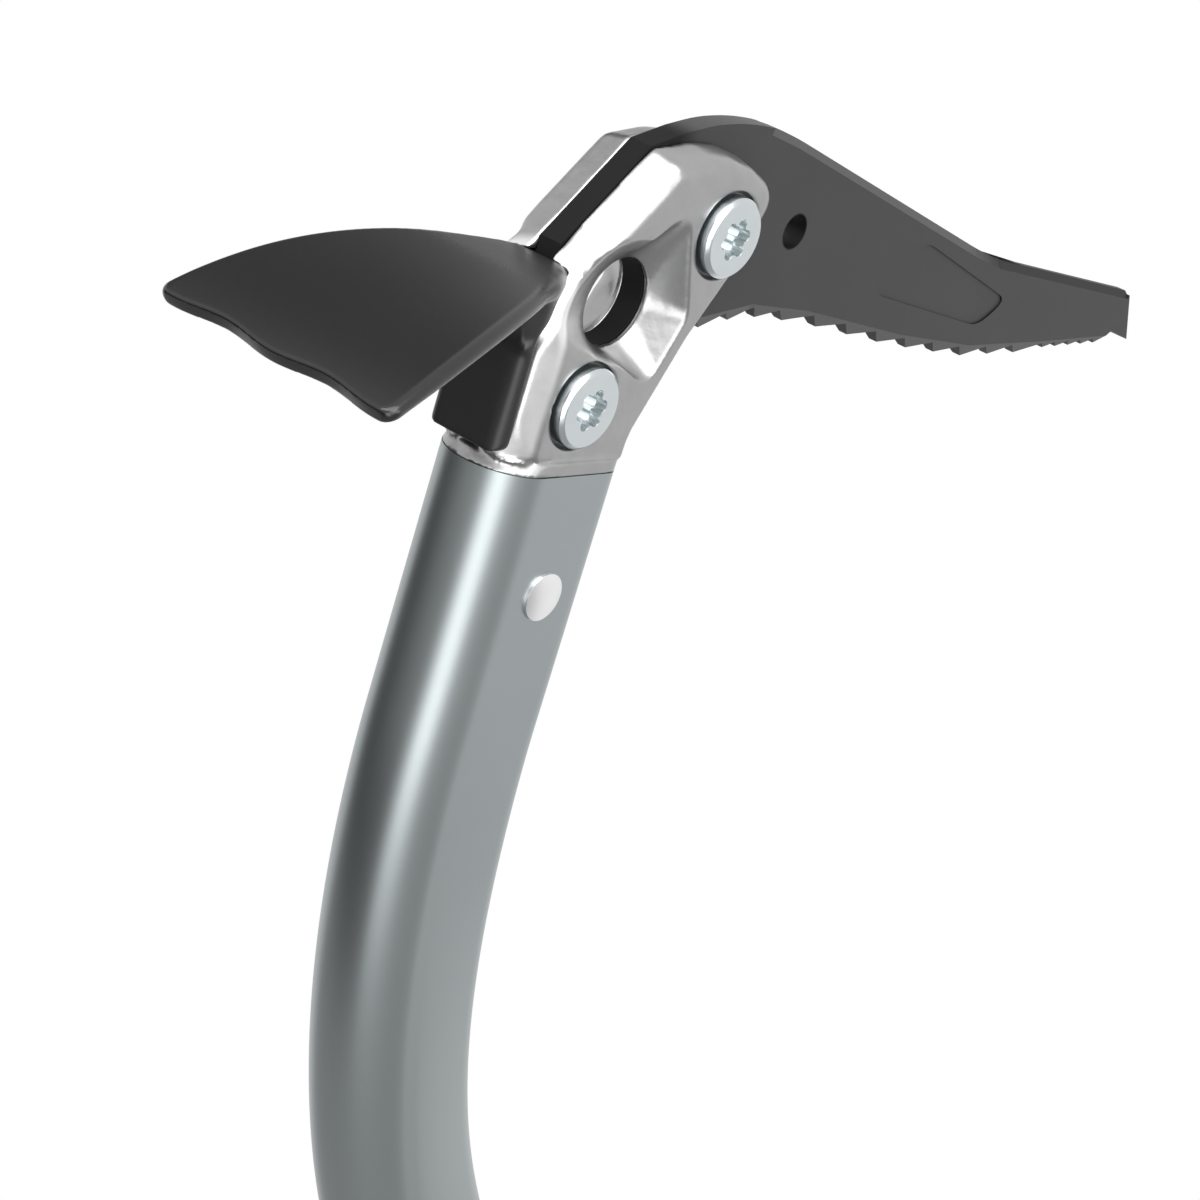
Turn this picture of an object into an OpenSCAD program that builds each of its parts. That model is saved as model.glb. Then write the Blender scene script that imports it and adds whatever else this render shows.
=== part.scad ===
// Ice climbing tool: forged head, toothed pick, adze, bent tube shaft,
// rubber grip, sliding finger rest, folding hand rest and spike.
// Origin at the centre of the eye through the head, +X to the pick,
// +Z up along the straight lower shaft, Y across the tool.

/* [Shaft] */
// depth of the tube's section in the plane of the pick
shaft_depth = 27.4; // [24:0.1:31]
// width of the tube's section across the tool
shaft_width = 18.3; // [16.5:0.1:21]
// corner radius on the pick side of the section
shaft_front_r = 3.5; // [2.6:0.1:5]
// wall of the tube
shaft_wall = 2; // [1.4:0.1:2.5]
// straight length between the head and the bend
upper_straight = 42.4; // [40:0.1:60]
// centreline radius of the bend
bend_r = 192.7; // [150:0.1:260]
// angle turned by the bend
bend_angle = 34; // [24:0.5:42]
// straight length below the bend
lower_straight = 278; // [270:1:320]

/* [Head] */
// width across the two cheeks
head_width = 16.8; // [15:0.1:18.2]
// distance of the head's back behind the shaft's axis
head_back = 12.8; // [11.6:0.1:13.4]
// height of the flange that sits on the tube
flange_h = 2.2; // [1.6:0.1:3]
// depth of the tenon inside the tube
tenon_len = 36; // [30:1:40]
// radius of the eye through head and pick
eye_r = 7; // [5.6:0.1:7.4]
// land of full round wall left on each cheek at the eye
eye_land = 1; // [0.8:0.1:2]
// lean of the cheeks' roof on both sides of the slot, in degrees
roof_lean = 12; // [6:1:20]
// radius of the shoulder between the roof and a cheek
shoulder_r = 2.8; // [1.6:0.1:4]
// radius of the cheeks' rear edges beside the adze
flank_r = 4.5; // [2:0.1:5]

/* [Pick] */
// thickness of the pick
pick_t = 4; // [3:0.1:5]
// count of fine teeth behind the tip
fine_teeth = 5; // [3:1:6]
// pitch of the fine teeth
fine_pitch = 4.7; // [4:0.1:5.2]
// pitch of the main teeth at the front
main_pitch = 9; // [8:0.1:10]
// pitch of the rear teeth under the head
rear_pitch = 7.2; // [5:0.1:7.6]
// depth of the fine teeth
fine_depth = 1.1; // [0.6:0.1:1.4]
// depth of the main teeth
main_depth = 1.9; // [1:0.1:2.4]
// bevel along both edges of the spine
spine_bevel = 1.1; // [0.4:0.1:1.5]
// depth of the bevel on both sides of the teeth
tooth_bevel = 1.2; // [0.4:0.1:1.5]
// radius of the accessory hole
acc_hole_r = 2.9; // [2:0.1:4]
// depth of the shallow panel on each side of the pick
panel_depth = 0.35; // [0.2:0.05:0.6]

/* [Fasteners] */
// radius of the pick bolts' heads and nuts
bolt_head_r = 6.4; // [5.6:0.1:6.6]
// radius of the pick bolts' shanks
bolt_shank_r = 4; // [3:0.1:4.4]
// height of a bolt head
bolt_head_h = 3.4; // [2.8:0.1:4]
// how far a bolt head stands out of the cheek
bolt_proud = 1.6; // [0.8:0.1:2]
// radius of the rivet through head and shaft
rivet_r = 3; // [2:0.1:3.4]
// radius of the rivet's domed heads
rivet_head_r = 3.9; // [3.6:0.1:4.4]
// height of the rivet's domed heads
rivet_head_h = 0.9; // [0.6:0.1:1.3]

/* [Adze] */
// thickness of the adze's blade
blade_t = 2.8; // [2:0.1:3.6]
// radius of the blade's curve seen from the side
blade_curve_r = 99; // [85:1:130]
// length of the blade behind the head's back
blade_len = 46.8; // [38:0.1:54]
// thickness left at the cutting edge
edge_t = 1.1; // [0.6:0.1:1.8]
// length of the bevel under the cutting edge
edge_len = 11; // [6:0.5:16]
// width at the cutting edge
blade_width = 43; // [34:0.5:50]
// depth of the two scallops in the cutting edge
scallop = 1.4; // [0:0.1:2.5]
// width of the adze's leg on the back of the head
leg_width = 14.4; // [11:0.1:15]
// thickness of the leg
leg_t = 2.6; // [2.1:0.1:3.4]

/* [Grip] */
// length of the grip
grip_len = 150; // [130:1:165]
// wall of the rigid sleeve under the rubber
core_t = 1.2; // [1:0.1:2]
// thickness of the rubber over the sleeve
rubber_t = 2.6; // [2:0.1:3.4]
// number of finger hollows
finger_count = 4; // [3:1:4]
// depth of a finger hollow
finger_depth = 1.3; // [0.6:0.1:1.6]

/* [Finger rest] */
// height of the sliding ring
ring_h = 26; // [24:0.5:32]
// wall of the sliding ring
ring_t = 4; // [3.6:0.1:5]
// gap between the ring and the shaft it slides on
slide_gap = 0.3; // [0.2:0.05:0.5]
// gap between the resting ring and the grip
rest_gap = 2.5; // [1:0.1:6]
// radius of the finger seat
seat_r = 13; // [11:0.5:14]
// width of the finger seat
seat_width = 15; // [12:0.5:18]
// thickness of the soft pad on the seat
cushion_t = 1.8; // [1.2:0.1:2.4]
// radius of the lever's cam
cam_r = 4; // [3.6:0.1:4.6]
// length of the lever
lever_len = 19; // [16:0.5:21]
// radius of the lever's pin
lever_pin_r = 1.5; // [1.2:0.1:2]

/* [Hand rest and spike] */
// height of the collar at the shaft's end
collar_h = 20; // [18:0.5:24]
// reach of the hand rest in front of its hinge
rest_reach = 33; // [28:0.5:40]
// width of the hand rest
rest_width = 19; // [16:0.5:24]
// radius of the hand rest's hub
hub_r = 6; // [5:0.1:7]
// half length of the hand rest's hub
hub_half = 4.2; // [3.6:0.1:5]
// radius of the hinge pin
rest_pin_r = 2.5; // [2:0.1:3]
// thickness of the friction washers
washer_t = 0.8; // [0.5:0.1:1.2]
// thickness of the hinge ears
ear_t = 4; // [3:0.1:5]
// length of the spike below its flange
spike_len = 36; // [30:0.5:46]
// thickness of the spike's blade
spike_t = 6; // [5:0.1:8]
// thickness of the spike's flange
spike_flange_h = 4; // [3:0.1:6]
// radius of the spike's tether eye
spike_eye_r = 5; // [4:0.1:5.6]
// radius of the rivet that holds the spike
spike_rivet_r = 3; // [2:0.1:3.6]

/* [Hidden] */
$fn = 64;
// clearances
fit_gap = 0.1;
pin_gap = 0.05;
press_gap = 0.02;
bolt_gap = 0.6;
seam_step = 0.02;

// places in the head's own frame: t forward from the shaft's axis, s up from the seam
eye_p = [7.8, 25];
low_bolt_p = [0.2, 10.9];
up_bolt_p = [22.7, 37.5];
head_rivet_p = [4.1, -20];
acc_hole_p = [49.8, 36.1];
slot_back = 7.8;
slot_floor = 2.6;
step_low = 21.5;
step_high = 27.5;
crown_s = 33.7;
ridge_p = [6.4, 48.8];
nose_line = [[14.6, 50.2], [20.3, 50], [26.4, 48.6], [31.4, 46.4], [33.5, 43.9], [33.4, 41], [31.8, 37.9]];
throat_line = [[26.3, 30.6], [20.5, 21.2], [15.9, 11.1], [13.7, 6.2]];
cheek_half = head_width / 2;
slot_half = pick_t / 2 + fit_gap / 2;
roof_w = cheek_half - slot_half;
bolt_face = cheek_half + bolt_proud;
bolt_seat = bolt_face - bolt_head_h;

// the shaft's run in the tool's frame
bend_top = [-eye_p[0] * cos(bend_angle) - (eye_p[1] + upper_straight) * sin(bend_angle),
            eye_p[0] * sin(bend_angle) - (eye_p[1] + upper_straight) * cos(bend_angle)];
bend_cx = bend_top[0] + bend_r * cos(bend_angle);
bend_cz = bend_top[1] - bend_r * sin(bend_angle);
low_x = bend_cx - bend_r;
shaft_end = bend_cz - lower_straight;
half_d = shaft_depth / 2;
half_w = shaft_width / 2;

// lower fittings, heights in the tool's frame
grip_grow = pin_gap * 2 + core_t + rubber_t;
collar_top = shaft_end + collar_h;
grip_base = collar_top + fit_gap;
grip_top = grip_base + grip_len;
ring_base = grip_top + rest_gap;
ring_grow = slide_gap + ring_t;
cam_x = -half_d - ring_grow - cam_r + 1.4;
cam_z = ring_base + ring_h - cam_r - 3;
seat_x = half_d + ring_grow + seat_r - 0.5;
seat_z = ring_base + ring_h - 3.5;
ear_in = hub_half + washer_t + 2 * fit_gap;
ear_out = ear_in + ear_t;
hinge_x = half_d + grip_grow + hub_r + 4;
hinge_z = shaft_end + hub_r + 0.6;
spike_eye_z = shaft_end - spike_flange_h - 3.2 - spike_eye_r;
spike_rivet_z = shaft_end + collar_h / 2 + 1;

// puts a child drawn in the head's frame into the tool's frame
module head_frame() {
  rotate([0, bend_angle, 0])
    translate([-eye_p[0], 0, -eye_p[1]])
      children();
}

// puts a child drawn about the lower shaft's axis into the tool's frame
module low_frame() {
  translate([low_x, 0, 0])
    children();
}

// extrudes a side outline evenly to both sides of the tool's plane
module side(w) {
  translate([0, w / 2, 0])
    rotate([90, 0, 0])
      linear_extrude(w)
        children();
}

// extrudes a side outline between two distances from the tool's plane, on the +Y side
module side_from(a, b) {
  translate([0, b, 0])
    rotate([90, 0, 0])
      linear_extrude(b - a)
        children();
}

// round bar across the tool at a point of the side outline
module cross_bar(p, r, a, b) {
  translate([p[0], b, p[1]])
    rotate([90, 0, 0])
      cylinder(r = r, h = b - a);
}

// section of the tube, grown outward or inward
module tube_section(grow) {
  rear_c = half_w - half_d;
  front_c = half_d - shaft_front_r;
  corner_c = half_w - shaft_front_r;
  translate([rear_c, 0])
    circle(r = half_w + grow);
  translate([rear_c, -half_w - grow])
    square([front_c - rear_c, shaft_width + 2 * grow]);
  translate([rear_c, -corner_c])
    square([half_d + grow - rear_c, 2 * corner_c]);
  for (m = [-1, 1])
    translate([front_c, m * corner_c])
      circle(r = shaft_front_r + grow);
}

// length of tube section standing on the lower shaft's axis
module low_sleeve(z, h, grow) {
  low_frame()
    translate([0, 0, z])
      linear_extrude(h)
        tube_section(grow);
}

// ring section of the tube, with its wall thinned on both faces
module tube_ring(thin) {
  difference() {
    tube_section(-thin);
    tube_section(-shaft_wall + thin);
  }
}

// the bent part of the tube, which runs a little way into both straight parts
module tube_bend() {
  over = 0.3;
  translate([bend_cx, 0, bend_cz])
    rotate([90, 0, 0])
      rotate([0, 0, 180 - bend_angle - over])
        rotate_extrude(angle = bend_angle + 2 * over)
          translate([bend_r, 0])
            mirror([1, 0])
              tube_ring(seam_step);
}

module shaft() {
  color([0.45, 0.49, 0.51])
    difference() {
      union() {
        head_frame()
          translate([0, 0, -upper_straight])
            linear_extrude(upper_straight)
              tube_ring(0);
        tube_bend();
        low_frame()
          translate([0, 0, shaft_end])
            linear_extrude(lower_straight)
              tube_ring(0);
      }
      head_frame()
        cross_bar(head_rivet_p, rivet_r + pin_gap, -shaft_width, shaft_width);
      low_frame()
        cross_bar([0, spike_rivet_z], spike_rivet_r + pin_gap, -shaft_width, shaft_width);
    }
}

function head_outline() = concat(
  [[-head_back, flange_h - 0.4], [-head_back, step_low], [-slot_back, step_high], [-slot_back, crown_s], ridge_p],
  nose_line, throat_line, [[half_d - 0.5, flange_h - 0.4]]);

// rounds one edge of the cheeks from p to q, with the solid to the right of the edge: a plane that
// leans away from the slot, then a shoulder down to the cheek; tail is how far it starts before p
module edge_round(p, q, r, lean, tail) {
  d = q - p;
  drop = (roof_w * sin(lean) + r * (1 - sin(lean))) / cos(lean);
  for (m = [0, 1])
    mirror([0, m, 0])
      translate([p[0], -cheek_half, p[1]])
        rotate([0, atan2(d[0], d[1]), 0])
          translate([0, 0, -tail])
            linear_extrude(tail + norm(d) + r)
              difference() {
                translate([-r, -r])
                  square([r + drop, r + roof_w]);
                translate([drop, r])
                  circle(r = 1.02 * r);
                polygon([[-seam_step, roof_w + 1], [-seam_step, roof_w], [drop - r * cos(lean), r - r * sin(lean)],
                         [drop, r], [drop + 1, roof_w + 1]]);
              }
}

// funnel from the round eye to the window's outline on a cheek
module window_scoop() {
  inner = slot_half + eye_land;
  for (m = [0, 1])
    mirror([0, m, 0])
      hull() {
        translate([eye_p[0], -inner, eye_p[1]])
          rotate([90, 0, 0])
            cylinder(r = eye_r + 0.25, h = 0.02, $fn = 40);
        for (c = [[-1.4, 23.6, 3], [2.6, 31.4, 3.2], [10.8, 37.3, 2.6], [16.2, 24.6, 2.6], [12.6, 17.5, 3]])
          translate([c[0], -cheek_half, c[1]])
            rotate([90, 0, 0])
              cylinder(r = c[2], h = 1, $fn = 32);
      }
}

module head_forging() {
  flank = [[-head_back, flange_h], [-head_back, step_low], [-slot_back, step_high]];
  roof = concat([[-slot_back, step_high], [-slot_back, crown_s], ridge_p], nose_line);
  color([0.78, 0.79, 0.8])
    head_frame()
      difference() {
        union() {
          difference() {
            side(head_width)
              polygon(head_outline());
            for (i = [0 : len(flank) - 2])
              edge_round(flank[i], flank[i + 1], flank_r, 0, flank_r);
            for (i = [0 : len(roof) - 2])
              edge_round(roof[i], roof[i + 1], i == 0 ? flank_r : shoulder_r, roof_lean, i == 0 ? 0 : shoulder_r);
          }
          linear_extrude(flange_h)
            tube_section(0);
          translate([0, 0, -tenon_len])
            linear_extrude(tenon_len + 0.5)
              tube_section(-shaft_wall - fit_gap);
        }
        side(2 * slot_half)
          polygon([[-30, slot_floor], [50, slot_floor], [50, 70], [-30, 70]]);
        window_scoop();
        cross_bar(eye_p, eye_r, -head_width, head_width);
        for (p = [low_bolt_p, up_bolt_p]) {
          cross_bar(p, bolt_shank_r + pin_gap, -head_width, head_width);
          cross_bar(p, bolt_head_r + bolt_gap, -head_width, -bolt_seat);
          cross_bar(p, bolt_head_r + bolt_gap, bolt_seat, head_width);
        }
        cross_bar(head_rivet_p, rivet_r + pin_gap, -head_width, head_width);
      }
}

// underside of the pick as a line of key points from the head to the tip
belly = [[31.5, 21.3], [44.7, 23.4], [60.6, 22.1], [91, 17.4], [115, 14.9], [140, 15.1], [165, 15.8]];
function belly_s(t, i = 0) = i >= len(belly) - 2 || t <= belly[i + 1][0]
  ? belly[i][1] + (belly[i + 1][1] - belly[i][1]) * (t - belly[i][0]) / (belly[i + 1][0] - belly[i][0])
  : belly_s(t, i + 1);
// the hooked tip: its point, the hook's length and rise, and the rake and height of the front face
tip_p = [173.2, 15.4];
hook_len = 7.2;
hook_rise = 1.8;
tip_rake = 5.3;
tip_height = 9.6;
spine_end = tip_p + [-tip_rake, tip_height];
tip_notch = tip_p + [-hook_len, hook_rise];
// plain stretches before the fine and the main teeth, and where the rear teeth take over
fine_gap = 4.2;
main_gap = 4.6;
rear_start = 48;
rear_gap = 4;
rear_teeth = 3;
fine_start = tip_notch[0] - fine_gap;
main_start = fine_start - fine_teeth * fine_pitch - main_gap;
main_count = floor((main_start - rear_start - rear_gap) / (1.08 * main_pitch)) + 1;
// each tooth rakes gently to its point and breaks back steeply to the gullet behind it
function tooth(t, pitch, depth) = [[t, belly_s(t) - depth], [t - 0.31 * pitch, belly_s(t - 0.31 * pitch)]];
function teeth_line() = concat(
  [for (i = [0 : fine_teeth - 1]) each tooth(fine_start - i * fine_pitch, fine_pitch, fine_depth)],
  [for (i = [0 : main_count - 1]) each tooth(main_start - i * main_pitch * (1 + 0.01 * i), main_pitch, main_depth)],
  [for (i = [0 : rear_teeth - 1]) each tooth(rear_start - i * rear_pitch, rear_pitch, main_depth)]);

spine_line = [[13.6, 51], [20.7, 52.6], [28.2, 53.1], [36.3, 52.7], [44.4, 50.9], [108.2, 33.2], [117, 31.1],
              [131.9, 29.4], spine_end];
spine_turn = 3.4;
function pick_outline() = concat(
  [[-slot_back, low_bolt_p[1]], [-slot_back, crown_s], ridge_p, spine_line[0]],
  [for (i = [1 : len(spine_line) - 2]) each corner(spine_line[i], spine_line[i - 1], spine_line[i + 1], spine_turn)],
  [spine_end, tip_p, tip_notch], teeth_line(),
  [[low_bolt_p[0] + bolt_head_r, low_bolt_p[1]]]);

// cuts a bevel on both sides of the pick along an edge from p to q, with the steel to the right of it
module edge_bevel(p, q, depth, height) {
  over = 0.4;
  d = q - p;
  for (m = [0, 1])
    mirror([0, m, 0])
      translate([p[0], -pick_t / 2, p[1]])
        rotate([0, atan2(d[0], d[1]), 0])
          translate([0, 0, -over])
            linear_extrude(norm(d) + 2 * over)
              polygon([[-1, -1], [height, -1], [height, 0], [0, depth], [-1, depth]]);
}

// line through the points of the main teeth, from the tip back to the head
teeth_tips = [for (i = [len(belly) - 1 : -1 : 0]) belly[i] - [0, main_depth]];

lug_r = bolt_shank_r + 3.2;
// the tongue of the adze that laps the pick's tang round the lower bolt
module lap_outline(grow) {
  translate(low_bolt_p)
    circle(r = lug_r + grow);
  translate([-head_back - 1, low_bolt_p[1] - 5 - grow])
    square([head_back + 1 + low_bolt_p[0], 10 + 2 * grow]);
}

// short curve in place of the corner p between q and r, which starts and ends a given way from it,
// and an outline with such curves at all its corners
function toward(p, q, way) = p + (q - p) / norm(q - p) * way;
function corner(p, q, r, way) = [for (u = [0 : 0.25 : 1])
  (1 - u) * (1 - u) * toward(p, q, way) + 2 * u * (1 - u) * p + u * u * toward(p, r, way)];
function rounded(line, way) = [for (i = [0 : len(line) - 1])
  each corner(line[i], line[(i + len(line) - 1) % len(line)], line[(i + 1) % len(line)], way)];

// corners of the shallow panel, and how far before them they start to turn
panel_line = [[78.5, 25.4], [89.6, 34.8], [122.7, 24], [115.7, 19]];
panel_turn = 3.2;

module pick() {
  color([0.22, 0.22, 0.23])
    head_frame()
      difference() {
        union() {
          side(pick_t)
            polygon(pick_outline());
          cross_bar(low_bolt_p, lug_r, -pick_t / 2, pick_t / 2);
        }
        side_from(-pin_gap, pick_t)
          lap_outline(fit_gap);
        cross_bar(eye_p, eye_r, -pick_t, pick_t);
        cross_bar(acc_hole_p, acc_hole_r, -pick_t, pick_t);
        for (p = [low_bolt_p, up_bolt_p])
          cross_bar(p, bolt_shank_r + pin_gap, -pick_t, pick_t);
        for (m = [0, 1])
          mirror([0, m, 0])
            side_from(pick_t / 2 - panel_depth, pick_t)
              polygon(rounded(panel_line, panel_turn));
        for (i = [3 : len(spine_line) - 2])
          edge_bevel(spine_line[i], spine_line[i + 1], spine_bevel, 1.2 * spine_bevel);
        for (i = [0 : len(teeth_tips) - 2])
          edge_bevel(teeth_tips[i], teeth_tips[i + 1], tooth_bevel, 2 * tooth_bevel);
      }
}

seat_t = head_back + fit_gap;
leg_back = seat_t + leg_t;
leg_base = flange_h + 1.2;
blade_root = [-leg_back + 2, 31.3];
blade_end = -leg_back - blade_len + 2.5;
blade_c = [-10.2, blade_root[1] - blade_curve_r + 0.1];
flare_r = 114.5;
fold_r = 9;
root_chamfer = 0.8;
flare_c = [-69.3, 22.2 + (blade_width - 43) / 2 - flare_r];

// point on the blade's side curve, at an angle behind the top and a depth below the face
function blade_at(a, depth) = blade_c + (blade_curve_r - depth) * [-sin(a), cos(a)];
edge_a = asin((blade_c[0] - blade_end) / blade_curve_r);
bevel_a = edge_a - edge_len / blade_curve_r * 180 / PI;

// plan of the cutting edge between its rounded corners: two scallops with a swell in the middle
corner_r = 3;
edge_w = blade_width - 2 * corner_r;
edge_steps = 36;
function scallop_line() = [for (i = [0 : edge_steps])
  [blade_end + scallop * (1 - cos(720 * i / edge_steps)) / 2, (i / edge_steps - 0.5) * edge_w]];

// curved blade of the adze: a bent sheet cut to its flared plan
module adze_blade() {
  intersection() {
    side(blade_width + 10)
      intersection() {
        difference() {
          translate(blade_c)
            circle(r = blade_curve_r, $fn = 200);
          translate(blade_c)
            circle(r = blade_curve_r - blade_t, $fn = 200);
          polygon([blade_at(bevel_a, blade_t + 0.4), blade_at(edge_a, edge_t), blade_at(edge_a + 4, edge_t - 1.6),
                   blade_at(edge_a + 4, 20), blade_at(bevel_a, 20)]);
        }
        translate([blade_end - 10, 0])
          square([-slot_back - 1 - blade_end + 10, 60]);
      }
    linear_extrude(60)
      intersection() {
        translate([flare_c[0], flare_c[1]])
          circle(r = flare_r);
        translate([flare_c[0], -flare_c[1]])
          circle(r = flare_r);
        union() {
          polygon(concat(scallop_line(), [[0, edge_w / 2], [0, -edge_w / 2]]));
          translate([blade_end + corner_r, -blade_width])
            square([-blade_end, 2 * blade_width]);
          for (m = [-1, 1])
            translate([blade_end + corner_r, m * edge_w / 2])
              circle(r = corner_r);
        }
      }
  }
}

// leg of the adze on the back of the head, with rounded edges and lower corners
module adze_leg() {
  r = min(2.4, leg_t - 0.1);
  intersection() {
    linear_extrude(step_low + 3)
      union() {
        translate([-leg_back + r, -leg_width / 2])
          square([leg_t - r, leg_width]);
        translate([-leg_back, -leg_width / 2 + r])
          square([leg_t, leg_width - 2 * r]);
        for (m = [-1, 1])
          translate([-leg_back + r, m * (leg_width / 2 - r)])
            circle(r = r);
      }
    translate([-leg_back - 1, 0, 0])
      rotate([90, 0, 90])
        linear_extrude(leg_t + 1)
          union() {
            translate([-leg_width / 2, leg_base + 2])
              square([leg_width, 40]);
            translate([-leg_width / 2 + 2, leg_base])
              square([leg_width - 4, 10]);
            for (m = [-1, 1])
              translate([m * (leg_width / 2 - 2), leg_base + 2])
                circle(r = 2);
          }
  }
}

// thick root of the adze on the head's step, with a rounded fold from the leg to the blade
module adze_fold() {
  top = blade_root[1] - 0.5;
  fold_c = [-leg_back - fold_r, top - blade_t - fold_r];
  front = -slot_back - fit_gap;
  side(leg_width)
    difference() {
      polygon([fold_c, [-seat_t, fold_c[1]], [-seat_t, step_low], [front, step_high], [front, top - root_chamfer],
               [front - root_chamfer, top], [fold_c[0], top - blade_t / 2]]);
      translate(fold_c)
        circle(r = fold_r);
    }
}

module adze() {
  color([0.14, 0.14, 0.15])
    head_frame()
      difference() {
        union() {
          adze_blade();
          adze_leg();
          adze_fold();
          side_from(pin_gap, pick_t / 2)
            lap_outline(0);
        }
        cross_bar(low_bolt_p, bolt_shank_r + pin_gap, -pick_t, pick_t);
      }
}

// six-lobe recess of a bolt: its core, its lobes, the ring that they stand on and its depth
recess_r = 2.5;
lobe_r = 0.95;
lobe_ring = 2.35;
recess_depth = 2.4;
module bolt_at(p) {
  top = -bolt_face - 1;
  bottom = -bolt_face + recess_depth;
  difference() {
    union() {
      cross_bar(p, bolt_head_r, -bolt_face + 0.6, -bolt_seat);
      translate([p[0], -bolt_face + 0.6, p[1]])
        rotate([90, 0, 0])
          cylinder(r1 = bolt_head_r, r2 = bolt_head_r - 0.6, h = 0.6);
      cross_bar(p, bolt_shank_r, -bolt_seat - 0.5, bolt_face - 0.4);
    }
    cross_bar(p, recess_r, top, bottom);
    for (a = [15 : 60 : 315])
      cross_bar(p + lobe_ring * [cos(a), sin(a)], lobe_r, top, bottom);
  }
}

module pick_bolts() {
  color([0.72, 0.74, 0.76])
    head_frame() {
      bolt_at(low_bolt_p);
      bolt_at(up_bolt_p);
    }
}

module nut_at(p) {
  difference() {
    union() {
      cross_bar(p, bolt_head_r, bolt_seat, bolt_face - 0.6);
      translate([p[0], bolt_face - 0.6, p[1]])
        rotate([-90, 0, 0])
          cylinder(r1 = bolt_head_r, r2 = bolt_head_r - 0.6, h = 0.6);
    }
    cross_bar(p, bolt_shank_r + pin_gap, 0, 2 * bolt_face);
  }
}

module pick_nuts() {
  color([0.66, 0.68, 0.7])
    head_frame() {
      nut_at(low_bolt_p);
      nut_at(up_bolt_p);
    }
}

module head_rivet() {
  dome_r = (rivet_head_r * rivet_head_r + rivet_head_h * rivet_head_h) / (2 * rivet_head_h);
  color([0.86, 0.87, 0.88])
    head_frame()
      union() {
        cross_bar(head_rivet_p, rivet_r, -half_w - 0.2, half_w + 0.2);
        for (m = [0, 1])
          mirror([0, m, 0])
            intersection() {
              translate([head_rivet_p[0], half_w + rivet_head_h - dome_r, head_rivet_p[1]])
                sphere(r = dome_r);
              cross_bar(head_rivet_p, rivet_head_r + 0.5, half_w + 0.02, half_w + 3);
            }
      }
}

module grip_core() {
  color([0.12, 0.12, 0.13])
    difference() {
      low_sleeve(grip_base, grip_len, pin_gap + core_t);
      low_sleeve(grip_base - 1, grip_len + 2, pin_gap);
    }
}

// round hollow across the front of the grip for one finger
module finger_hollow(z) {
  r = 16;
  low_frame()
    cross_bar([half_d + grip_grow + r - finger_depth, z], r, -shaft_width, shaft_width);
}

module grip() {
  pitch = (grip_len - 34) / finger_count;
  color([0.08, 0.08, 0.085])
    difference() {
      union() {
        low_sleeve(grip_base, grip_len - 5, grip_grow);
        low_sleeve(grip_base + grip_len - 5.1, 5.1, grip_grow - rubber_t / 2);
      }
      low_sleeve(grip_base - 1, grip_len + 2, 2 * pin_gap + core_t);
      for (i = [0 : finger_count - 1])
        finger_hollow(grip_base + 20 + (i + 0.5) * pitch);
      for (i = [0 : 6])
        difference() {
          low_sleeve(grip_base + 18 + i * (grip_len - 40) / 6, 2.4, grip_grow + 5);
          low_sleeve(grip_base + 17 + i * (grip_len - 40) / 6, 5, grip_grow - 0.7);
          low_frame()
            translate([half_w - half_d, -shaft_width, grip_base])
              cube([2 * shaft_depth, 2 * shaft_width, grip_len]);
        }
    }
}

module trigger_body() {
  ear_w = 2.6;
  ear_y = cam_r + fit_gap + 0.1;
  color([0.16, 0.16, 0.17])
    difference() {
      union() {
        low_sleeve(ring_base, ring_h, ring_grow);
        low_frame()
          side(seat_width)
            difference() {
              union() {
                polygon([[half_d + 1, ring_base], [seat_x + 2, ring_base + 1.5], [seat_x + seat_r - 1, ring_base + 10],
                         [seat_x + seat_r + 2.2, seat_z - 4.6], [seat_x + seat_r - 1, seat_z - 2], [half_d + 1, seat_z]]);
                translate([seat_x + seat_r - 0.2, seat_z - 4.4])
                  circle(r = 2.4);
              }
              translate([seat_x, seat_z])
                circle(r = seat_r);
            }
        low_frame()
          for (m = [0, 1])
            mirror([0, m, 0])
              side_from(ear_y, ear_y + ear_w)
                union() {
                  translate([cam_x, cam_z])
                    circle(r = cam_r);
                  translate([cam_x, cam_z - cam_r])
                    square([-half_d - cam_x, 2 * cam_r]);
                }
      }
      low_sleeve(ring_base - 1, ring_h + 2, slide_gap);
      low_frame() {
        cross_bar([cam_x, cam_z], cam_r + 0.4, -ear_y, ear_y);
        cross_bar([cam_x, cam_z], lever_pin_r + press_gap, -20, 20);
        translate([-half_d - ring_grow - 2, -3.5 - fit_gap, cam_z - 3.5 - fit_gap])
          cube([ring_grow + 6, 7 + 2 * fit_gap, 7 + 2 * fit_gap]);
      }
    }
}

module trigger_cushion() {
  color([0.1, 0.1, 0.1])
    low_frame()
      side(seat_width - 1)
        intersection() {
          difference() {
            translate([seat_x, seat_z])
              circle(r = seat_r - fit_gap);
            translate([seat_x, seat_z])
              circle(r = seat_r - fit_gap - cushion_t);
          }
          polygon([[seat_x, seat_z], [seat_x - seat_r, seat_z - seat_r * 0.75], [seat_x - seat_r, seat_z - 2 * seat_r],
                   [seat_x + seat_r, seat_z - 2 * seat_r], [seat_x + seat_r, seat_z - seat_r * 0.7]]);
        }
}

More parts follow.
